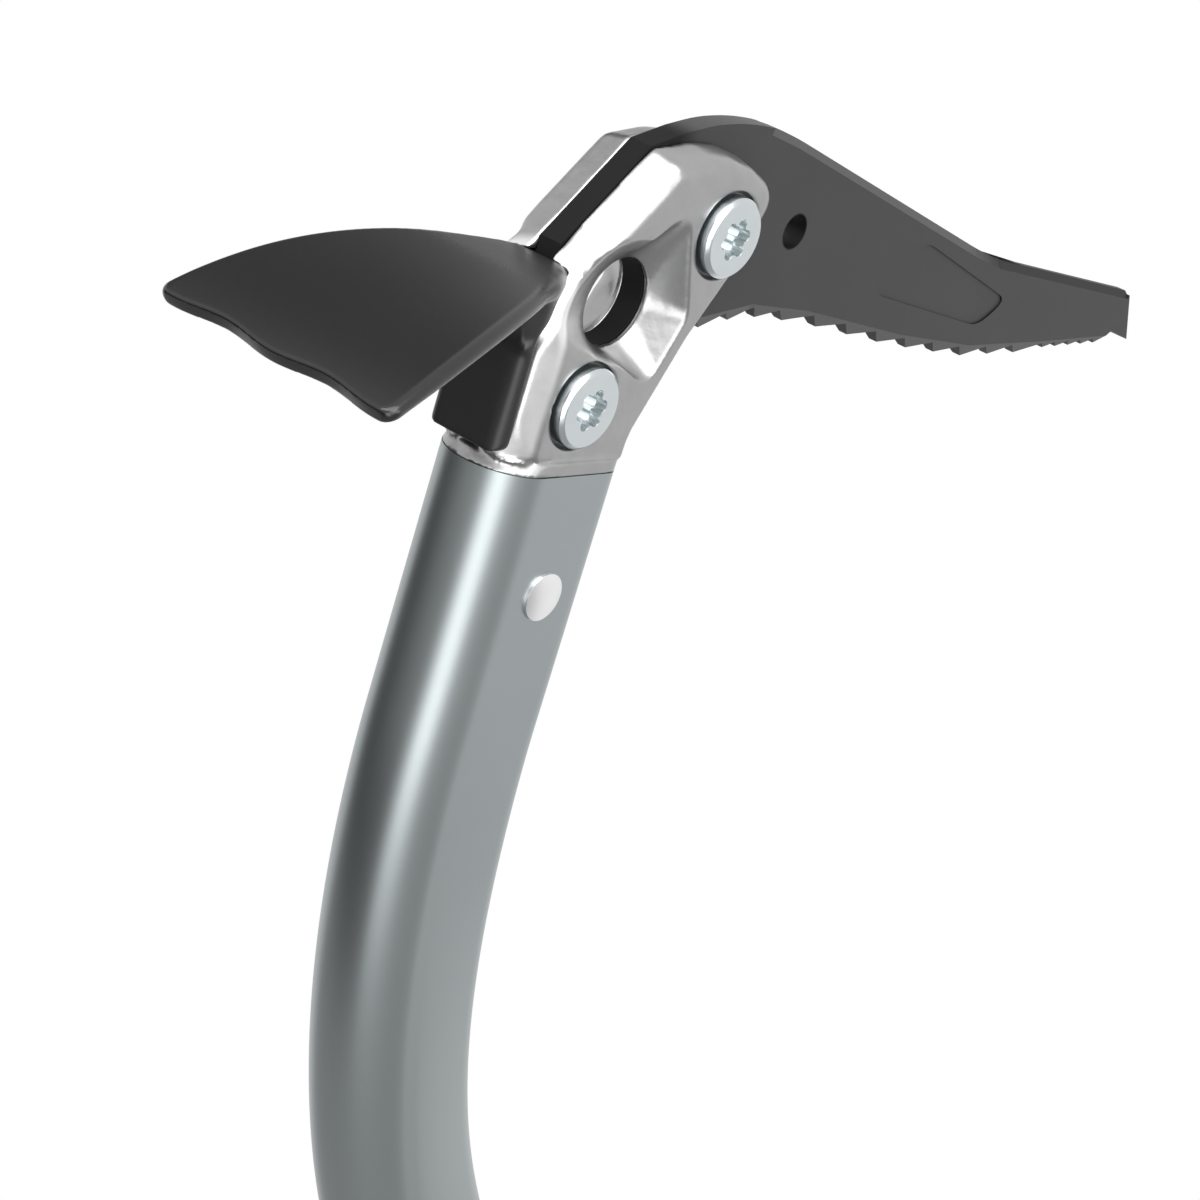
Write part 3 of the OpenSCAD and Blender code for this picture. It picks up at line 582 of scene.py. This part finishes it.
LEVER_NYLON = material(
    "lever_nylon", (0.09, 0.09, 0.095), (0.11, 0.11, 0.115), roughness=0.5, spread=0.08,
    metallic=0, grain=3000, blotch=80, depth=0.03 * MM)
GRIP_RUBBER = material(
    "grip_rubber", (0.02, 0.02, 0.021), (0.03, 0.03, 0.031), roughness=0.65, spread=0.08,
    metallic=0, grain=2500, blotch=50, depth=0.05 * MM)
PAD_RUBBER = material(
    "pad_rubber", (0.06, 0.06, 0.062), (0.08, 0.08, 0.082), roughness=0.75, spread=0.08,
    metallic=0, grain=2500, blotch=80, depth=0.05 * MM)

# The pick's colour is painted by the way its faces lean. Painted light makes its faces that lean under,
# and those that lean over short of the tip, lighter.
# Painted shade makes near black the faces that lean over at the tip, the rear-leaning faces of the teeth,
# the tang in the head's slot and the hole's wall
ground = use_group(PICK_STEEL, FACING)
upper = combine(PICK_STEEL, "MULTIPLY", ground.outputs["Over"], short_of(PICK_STEEL, LENGTH, TIP_T))
tang = short_of(PICK_STEEL, LENGTH, TANG_T)
hole = use_group(PICK_STEEL, BORE, X=HOLE.x, Z=HOLE.z, Radius=HOLE_R)
lay_over(PICK_STEEL, ground.outputs["Over"], PAINTED_SHADE)
lay_over(PICK_STEEL, upper, UPPER_BEVEL_PAINTED_LIGHT)
lay_over(PICK_STEEL, ground.outputs["Under"], LOWER_BEVEL_PAINTED_LIGHT)
lay_over(PICK_STEEL, ground.outputs["Rear"], PAINTED_SHADE)
lay_over(PICK_STEEL, tang, PAINTED_SHADE)
lay_over(PICK_STEEL, hole.outputs["Inside"], PAINTED_SHADE)
roughen(PICK_STEEL, tang, TANG_DULL)

# Painted highlight: the head's flank is painted brighter than its cheeks, and it is duller too, down to
# the flange
flank = combine(HEAD_ALLOY, "SUBTRACT", short_of(HEAD_ALLOY, LENGTH, BRIGHT_T),
                short_of(HEAD_ALLOY, RISE, BRIGHT_S))
lay_over(HEAD_ALLOY, flank, FLANK_PAINTED_HIGHLIGHT)
roughen(HEAD_ALLOY, flank, FLANK_DULL)

# The adze's blade is glossier than its knuckle, and the grip is pebbled
roughen(BLACK_STEEL, short_of(BLACK_STEEL, LENGTH, GLOSS_T), BLADE_GLOSS)
bump_over(GRIP_RUBBER, use_group(GRIP_RUBBER, PEBBLES).outputs["Height"], PEBBLE_H)

FINISHES = {"head_alloy": HEAD_ALLOY, "pick_steel": PICK_STEEL, "black_steel": BLACK_STEEL,
            "zinc_steel": ZINC_STEEL, "rivet_steel": RIVET_STEEL, "shaft_alloy": SHAFT_ALLOY,
            "black_nylon": BLACK_NYLON, "lever_nylon": LEVER_NYLON, "grip_rubber": GRIP_RUBBER,
            "pad_rubber": PAD_RUBBER}
for node in frame["nodes"].values():
    for held in node.material_slots:
        held.material = FINISHES[held.material.name.split(".")[0]]


# Pieces

def near_bolts(point):
    """1 on the bores and counterbores of the two pick bolts, where the head stays crisp."""
    nearest = min(math.hypot(point.x - bolt.x, point.z - bolt.z) for bolt in (LOW_BOLT, UP_BOLT))
    return 1 if nearest < SEAT_R else max(0, 1 - (nearest - SEAT_R) / SEAT_FADE)


def head_firmness(point):
    """How much of its sharpness the forging keeps: most at the bolts and the flange, little at the
    step, the flank and the nose."""
    step = between(point.x, *STEP_T) * between(point.z, *STEP_S)
    flank = (1 - ramp(point.x, *SOFT_FLANK_T)) * between(point.z, *SOFT_FLANK_S)
    nose = ramp(point.x, *NOSE_T) * ramp(point.z, *NOSE_S)
    keep = FLANGE_KEEP if point.z < FLANGE_TOP else BODY_KEEP
    soft = max(STEP_SOFT * step, FLANK_SOFT * flank, nose)
    return max(SEAT_KEEP * near_bolts(point), keep * (1 - soft))


def flank_half(point):
    """Half of the head's width behind the cheeks: drawn in to the adze's leg, and to the flange below."""
    front = FLANK_FRONT - FLANK_LOW_STEP * ramp(point.z, *FLANK_LOW_S)
    front -= FLANK_TOP_STEP * ramp(point.z, *FLANK_TOP_S)
    half = FLANK_HALF - FLANK_DRAWN * max(front - point.x, 0) / (front - FLANK_REAR)
    behind = max(HALF_WIDTH - HALF_DEPTH - point.x, 0)
    low = math.sqrt(max(HALF_WIDTH ** 2 - behind ** 2, 0)) - FLANGE_INSET
    return min(half, low + FLANK_FLARE * (point.z - FLANGE_H))


def forged(point):
    """Point of the head with a long scoop behind the eye, the flank drawn in to the adze's leg, the
    far window drawn in at its front and the flange drawn in to its top."""
    if FLANGE_EDGE < point.z < FLANGE_H + FLANGE_EDGE:
        drawn = FLANGE_INSET * point.z / FLANGE_H * (1 - ramp(point.x, *FLANGE_T))
        return Vector((point.x * (1 - drawn / HALF_DEPTH), point.y * (1 - drawn / HALF_WIDTH), point.z))
    turn = math.atan2(point.z - EYE.z, EYE.x - point.x)
    slope = SCOOP_SLOPE + (SCOOP_UP if turn > 0 else SCOOP_DOWN) * turn * turn
    land = EYE_LAND + slope * max((point.xz - EYE.xz).length - EYE_R, 0)
    if point.x < FLANK_FRONT and point.z > FLANGE_H:
        land = min(land, flank_half(point))
    far = ramp(point.y, *FAR_Y) * (1 - ramp((point.xz - FAR_LIP.xz).length, *FAR_REACH))
    return Vector((point.x - FAR_DRAWN * far, math.copysign(min(abs(point.y), land), point.y), point.z))


def head_block(side, profile, inner, outer, shift):
    """A block on one side of the head, between two distances from its middle plane."""
    deselect()
    bpy.ops.mesh.primitive_circle_add(vertices=len(profile), fill_type="NGON")
    block = new_piece("head_block")
    for vertex, (t, s) in zip(block.data.vertices, profile):
        vertex.co = Vector((t, side * inner, s)) * MM
    edit(block)
    reach = Vector((shift[0], side * (outer - inner), shift[1])) * MM
    bpy.ops.mesh.extrude_region_move(TRANSFORM_OT_translate={"value": reach})
    bpy.ops.mesh.select_all(action="SELECT")
    bpy.ops.mesh.normals_make_consistent(inside=False)
    done()
    return block


def head():
    """The CAD head and its blocks, grown into one forging."""
    piece = cad_copy("head_forging", "head", HEAD)
    blocks = [head_block(side, *block) for side in (-1, 1) for block in HEAD_BLOCKS]
    activate(piece)
    for block in blocks:
        block.select_set(True)
    bpy.ops.object.join()
    even(piece, HEAD_VOXEL)
    for vertex in piece.data.vertices:
        vertex.co = forged(vertex.co)
    soften(piece, HEAD_VOXEL, HEAD_ROUNDS, head_firmness)
    settle(piece, HEAD, "tool", "head_alloy", "head_forging")


def bar_section(share, half, thick):
    """Point on a flat bar's section with round edges, at a share of the way round it."""
    round_r = thick / 2
    flat = 2 * (half - round_r)
    side = 1 if share < 0.5 else -1
    run = (2 * share if side > 0 else 2 * share - 1) * (flat + math.pi * round_r)
    if run < flat:
        return side * (run - flat / 2), side * round_r
    turn = (run - flat) / round_r if round_r else 0
    return side * (flat / 2 + round_r * math.sin(turn)), side * round_r * math.cos(turn)


def blade_point(along, share):
    """Point of the adze's blade, at a share of its length and of the way round its section."""
    left = (BLADE_ROOT - BLADE_END) * (1 - along) ** BLADE_CROWD
    t = BLADE_END + left
    thick = BLADE_T + (ROOT_T - BLADE_T) * ramp(t, *ROOT_SPAN)
    thick -= (BLADE_T - EDGE_T) * (1 - ramp(left, 0, EDGE_RUN))
    middle = thick / 2
    half = max(FLARE_C.y + math.sqrt(FLARE_R ** 2 - (t - FLARE_C.x) ** 2), ROOT_HALF)
    half -= EDGE_CORNER - math.sqrt(EDGE_CORNER ** 2 - max(EDGE_CORNER - left, 0) ** 2)
    thick *= (1 - max(1 - left / middle, 0) ** EDGE_ROUND) ** (1 / EDGE_ROUND)
    y, height = bar_section(share, half, thick)
    if abs(y) < EDGE_W / 2:
        wave = (1 - math.cos(2 * SCALLOPS * math.pi * y / EDGE_W)) / 2
        t += SCALLOP * wave * (1 - ramp(left, 0, SCALLOP_RUN))
    turn = math.asin((CURVE_C.x - t) / CURVE_R)
    spoke = Vector((-math.sin(turn), 0, math.cos(turn)))
    return CURVE_C + Vector((0, y, 0)) + (CURVE_R - middle + height) * spoke


def adze_firmness(point):
    """The fold between leg and blade is soft, the rest keeps its edges."""
    fold = ramp(point.x, *FOLD_T) * ramp(point.z, *FOLD_S)
    edge = 1 - ramp(point.x, *CUTTING_T)
    return max(edge, FOLD_KEEP * (1 - fold))


def adze():
    """A rolled blade on the leg and the tongue of the CAD node, grown into one soft casting."""
    leg = cad_copy("adze", "adze_leg", HEAD)
    edit(leg)
    bpy.ops.mesh.bisect(plane_co=(LEG_CUT, 0, 0), plane_no=(1, 0, 0), use_fill=True, clear_inner=True)
    done()
    for vertex in leg.data.vertices:
        if vertex.co.x < LEG_BACK:
            vertex.co.y *= STUB_NARROW
            vertex.co.z -= STUB_DROP
        elif vertex.co.x > KNUCKLE_FRONT and vertex.co.z > KNUCKLE_LOW:
            vertex.co.y *= KNUCKLE_NARROW
    deselect()
    bpy.ops.mesh.primitive_grid_add(x_subdivisions=BLADE_AROUND, y_subdivisions=BLADE_ALONG, size=2)
    piece = new_piece("adze_blade")
    for vertex in piece.data.vertices:
        vertex.co = blade_point((vertex.co.y + 1) / 2, (vertex.co.x + 1) / 2)
    edit(piece)
    bpy.ops.mesh.remove_doubles(threshold=BLADE_MERGE)
    bpy.ops.mesh.fill_holes(sides=0)
    bpy.ops.mesh.normals_make_consistent(inside=False)
    done()
    leg.select_set(True)
    bpy.ops.object.join()
    soften(piece, ADZE_VOXEL, ADZE_ROUNDS, adze_firmness)
    settle(piece, HEAD, "tool", "black_steel", "adze")


def pick():
    piece = cad_copy("pick", "pick_blade", HEAD)
    crisp(piece, PICK_BREAK)
    settle(piece, HEAD, "tool", "pick_steel", "pick")


def bolts():
    """Bolts and nuts, with the floor of the bolts' recesses raised."""
    for node, name in (("pick_bolts", "bolts"), ("pick_nuts", "nuts")):
        piece = cad_copy(node, name, HEAD)
        for vertex in piece.data.vertices:
            across = min((vertex.co.xz - bolt.xz).length for bolt in (LOW_BOLT, UP_BOLT))
            if across < RECESS_R and abs(vertex.co.y + BOLT_FACE - CAD_RECESS) < RECESS_NEAR:
                vertex.co.y = -BOLT_FACE + RECESS_DEPTH
        crisp(piece, BOLT_BREAK, angle=BOLT_ANGLE)
        settle(piece, HEAD, "tool", "zinc_steel", node)


def rivet():
    """The rivet's two low heads on the tube's flat sides."""
    heads = []
    for side in (-1, 1):
        deselect()
        bpy.ops.mesh.primitive_cylinder_add(
            vertices=RIVET_STEPS, radius=RIVET_R, depth=2 * RIVET_H, rotation=(math.pi / 2, 0, 0),
            location=RIVET + Vector((0, side * HALF_WIDTH, 0)))
        bpy.ops.object.transform_apply()
        heads.append(new_piece("rivet_heads"))
    activate(heads[0])
    heads[1].select_set(True)
    bpy.ops.object.join()
    modify(heads[0], "BEVEL", width=RIVET_BREAK, segments=2, limit_method="ANGLE",
           angle_limit=math.radians(RIVET_ANGLE))
    activate(heads[0])
    bpy.ops.object.shade_smooth_by_angle(angle=math.radians(SMOOTH_ANGLE))
    settle(heads[0], HEAD, "tool", "rivet_steel", "head_rivet")


def mouldings():
    """The moulded and rubber pieces round the lower shaft, with the soft edges of a mould."""
    for node, name, body, slot, voxel, rounds in (
            ("grip", "grip_cover", "tool", "grip_rubber", 0.6 * MM, 6),
            ("trigger_body", "finger_rest_body", "finger_rest", "black_nylon", 0.4 * MM, 7),
            ("trigger_lever", "cam_lever", "lever", "lever_nylon", 0.2 * MM, 8),
            ("pommel_collar", "collar", "tool", "black_nylon", 0.4 * MM, 7),
            ("hand_rest", "hand_rest_body", "hand_rest_arm", "black_nylon", 0.35 * MM, 9)):
        piece = cad_copy(node, name)
        soften(piece, voxel, rounds)
        settle(piece, Matrix(), body, slot, node)


def cushion():
    piece = cad_copy("trigger_cushion", "seat_cushion")
    soften(piece, CUSHION_VOXEL, CUSHION_ROUNDS)
    settle(piece, Matrix(), "finger_rest", "grip_rubber", "trigger_cushion")


def spike():
    piece = cad_copy("spike", "spike_blade")
    crisp(piece, SPIKE_BREAK, SPIKE_SEGMENTS)
    settle(piece, Matrix(), "tool", "pick_steel", "spike")


def tube_section(share, taper):
    """Point of the tube's section at a share of its way round from the back, with the sides
    drawn in toward the front by taper."""
    side = -1 if share < 0.5 else 1
    way = 1 - abs(2 * share - 1)
    back = HALF_WIDTH - HALF_DEPTH
    front = HALF_DEPTH - FRONT_R
    corner = HALF_WIDTH - FRONT_R
    runs = (math.pi / 2 * HALF_WIDTH, front - back, math.pi / 2 * FRONT_R, corner)
    left = way * sum(runs)
    if left <= runs[0]:
        turn = left / HALF_WIDTH
        x = back - HALF_WIDTH * math.cos(turn)
        y = HALF_WIDTH * math.sin(turn)
    elif left <= runs[0] + runs[1]:
        x = back + left - runs[0]
        y = HALF_WIDTH
    elif left <= sum(runs[:3]):
        turn = (left - runs[0] - runs[1]) / FRONT_R
        x = front + FRONT_R * math.sin(turn)
        y = corner + FRONT_R * math.cos(turn)
    else:
        x = HALF_DEPTH
        y = corner - (left - sum(runs[:3]))
    drawn = max(0, (x - TAPER_START) / (HALF_DEPTH - TAPER_START))
    return x, side * y * (1 - taper * drawn ** TAPER_POWER)


def tube_point(share, down):
    """Point of the tube's outside, at a share of its way round and a length down from its top."""
    bent = min(max(down - UPPER_LEN, 0) / BEND_R, BEND)
    low = max(down - UPPER_LEN - BEND_R * BEND, 0)
    x, y = tube_section(share, FRONT_TAPER / HALF_WIDTH * ramp(down - UPPER_LEN, *TAPER_RUN))
    arm = Matrix.Rotation(-bent, 3, "Y") @ Vector((x - BEND_R, 0, -low))
    return Vector((BEND_R + arm.x, y, arm.z - min(down, UPPER_LEN)))


def shaft():
    """The bent tube, rolled from a grid and given its wall."""
    length = UPPER_LEN + BEND_R * BEND + LOWER_LEN
    deselect()
    bpy.ops.mesh.primitive_grid_add(x_subdivisions=TUBE_AROUND, y_subdivisions=TUBE_ALONG, size=2)
    piece = new_piece("shaft_tube")
    for vertex in piece.data.vertices:
        vertex.co = tube_point((vertex.co.x + 1) / 2, (1 - vertex.co.y) / 2 * length)
    edit(piece)
    bpy.ops.mesh.remove_doubles(threshold=TUBE_MERGE)
    bpy.ops.mesh.normals_make_consistent(inside=False)
    done()
    modify(piece, "SOLIDIFY", thickness=TUBE_WALL, offset=-1)
    activate(piece)
    bpy.ops.object.shade_smooth_by_angle(angle=math.radians(SMOOTH_ANGLE))
    settle(piece, HEAD, "tool", "shaft_alloy", "shaft")


head()
adze()
pick()
bolts()
rivet()
shaft()
mouldings()
cushion()
spike()


# Studio: a white floor, walls and a card that show only in reflections, and soft lamps

def background_mask(tree):
    """1 for the rays that show the white background: from the camera, and from gloss and glass."""
    path = add_node(tree, "ShaderNodeLightPath")
    mask = path.outputs["Is Camera Ray"]
    for ray in ("Is Glossy Ray", "Is Transmission Ray"):
        either = add_node(tree, "ShaderNodeMath", operation="MAXIMUM")
        link(tree, mask, either.inputs[0])
        link(tree, path.outputs[ray], either.inputs[1])
        mask = either.outputs["Value"]
    return mask


def floor():
    deselect()
    bpy.ops.mesh.primitive_plane_add(size=FLOOR_SIZE, location=(0, 0, FLOOR_Z))
    ground = new_piece("floor")
    paint = bpy.data.materials.new("floor_white")
    paint.use_nodes = True
    tree = paint.node_tree
    shader = tree.nodes["Principled BSDF"]
    shader.inputs["Base Color"].default_value = (FLOOR_GREY, FLOOR_GREY, FLOOR_GREY, 1)
    shader.inputs["Roughness"].default_value = FLOOR_ROUGHNESS
    shader.inputs["Specular IOR Level"].default_value = 0
    white = add_node(tree, "ShaderNodeEmission")
    mix = add_node(tree, "ShaderNodeMixShader")
    link(tree, background_mask(tree), mix.inputs["Fac"])
    link(tree, shader.outputs["BSDF"], mix.inputs[1])
    link(tree, white.outputs["Emission"], mix.inputs[2])
    link(tree, mix.outputs["Shader"], tree.nodes["Material Output"].inputs["Surface"])
    ground.data.materials.append(paint)


def reflected_only(stand, paint):
    """A studio flag that shows in reflections and nowhere else."""
    stand.data.materials.append(paint)
    stand.visible_camera = False
    stand.visible_diffuse = False
    stand.visible_shadow = False
    stand.visible_transmission = False


def flag_paint(name):
    """A glowing paint for a flag, and the node that gives its colour."""
    paint = bpy.data.materials.new(name)
    paint.use_nodes = True
    tree = paint.node_tree
    glow = add_node(tree, "ShaderNodeEmission")
    link(tree, glow.outputs["Emission"], tree.nodes["Material Output"].inputs["Surface"])
    return paint, glow


def wall(name, start, end, radius, height, grey):
    """A stretch of round wall between two bearings in degrees, which smooth faces mirror."""
    deselect()
    bpy.ops.mesh.primitive_grid_add(x_subdivisions=WALL_STEPS, y_subdivisions=1, size=2)
    flag = new_piece(name)
    for vertex in flag.data.vertices:
        turn = math.radians(start + (end - start) * (vertex.co.x + 1) / 2)
        up = FLOOR_Z + height * (vertex.co.y + 1) / 2
        vertex.co = Vector((radius * math.cos(turn), radius * math.sin(turn), up))
    paint, glow = flag_paint(name)
    glow.inputs["Color"].default_value = (grey, grey, grey, 1)
    reflected_only(flag, paint)


def floor_card():
    """A round card on the floor, grey at the left and white at the right, which the shaft mirrors."""
    deselect()
    bpy.ops.mesh.primitive_circle_add(vertices=CARD_STEPS, radius=CARD_RADIUS, fill_type="NGON",
                                      location=(0, 0, FLOOR_Z + CARD_LIFT))
    card = new_piece("floor_card")
    paint, glow = flag_paint("card_grey")
    tree = paint.node_tree
    place = add_node(tree, "ShaderNodeTexCoord")
    reach = add_node(tree, "ShaderNodeVectorMath", operation="DOT_PRODUCT")
    reach.inputs[1].default_value = (math.cos(CARD_TURN), math.sin(CARD_TURN), 0)
    link(tree, place.outputs["Object"], reach.inputs[0])
    fade = add_node(tree, "ShaderNodeMapRange", interpolation_type="SMOOTHSTEP")
    fade.inputs["From Min"].default_value = CARD_DARK
    fade.inputs["From Max"].default_value = CARD_LIGHT
    fade.inputs["To Min"].default_value = CARD_GREY
    fade.inputs["To Max"].default_value = 1
    link(tree, reach.outputs["Value"], fade.inputs["Value"])
    link(tree, fade.outputs["Result"], glow.inputs["Color"])
    reflected_only(card, paint)


def softbox(name, place, target, width, height, power):
    """A soft lamp that faces a point; power is its light in watts."""
    lamp = bpy.data.lights.new(name, "AREA")
    lamp.shape = "RECTANGLE"
    lamp.size = width
    lamp.size_y = height
    lamp.energy = power
    holder = bpy.data.objects.new(name, lamp)
    bpy.context.scene.collection.objects.link(holder)
    holder.location = place
    holder.rotation_mode = "QUATERNION"
    holder.rotation_quaternion = (Vector(target) - Vector(place)).to_track_quat("-Z", "Y")
    holder.visible_camera = False


def world():
    """White where it is seen or mirrored, and a weaker fill light on the tool."""
    sky = bpy.data.worlds.new("studio")
    bpy.context.scene.world = sky
    sky.use_nodes = True
    tree = sky.node_tree
    back = tree.nodes["Background"]
    back.inputs["Color"].default_value = (1, 1, 1, 1)
    level = add_node(tree, "ShaderNodeMapRange")
    level.inputs["To Min"].default_value = FILL
    level.inputs["To Max"].default_value = 1
    link(tree, background_mask(tree), level.inputs["Value"])
    link(tree, level.outputs["Result"], back.inputs["Strength"])


def camera():
    lens = bpy.data.cameras.new("photo_camera")
    lens.lens = LENS
    lens.sensor_width = SENSOR
    holder = bpy.data.objects.new("photo_camera", lens)
    bpy.context.scene.collection.objects.link(holder)
    back = CAMERA_RIGHT.cross(CAMERA_UP)
    turn = Matrix((CAMERA_RIGHT, CAMERA_UP, back)).transposed()
    holder.matrix_world = Matrix.Translation(CAMERA_AT) @ turn.to_4x4()
    bpy.context.scene.camera = holder


camera()
floor()
wall("wall_behind", start=105, end=200, radius=1.5, height=0.95, grey=0.05)
wall("wall_left", start=240, end=288, radius=1.5, height=0.6, grey=0.45)
wall("wall_right", start=36, end=66, radius=2.6, height=2.3, grey=0.2)
floor_card()
world()
softbox("overhead", place=(0.12, -0.3, 0.96), target=(0, 0, 0), width=0.9, height=1.6, power=18)
softbox("rear_strip", place=(-0.93, -0.9, 0.25), target=(-0.03, 0, -0.03), width=0.6, height=0.75,
        power=4.2)
softbox("left_window", place=(0, -1.37, 0.61), target=(0, 0, 0), width=1.5, height=1.2, power=12.4)
softbox("shoulder_strip", place=(0.43, -1.33, 0.08), target=(0, 0, 0), width=0.45, height=0.3, power=1.1)
bpy.context.scene.view_settings.view_transform = "Standard"
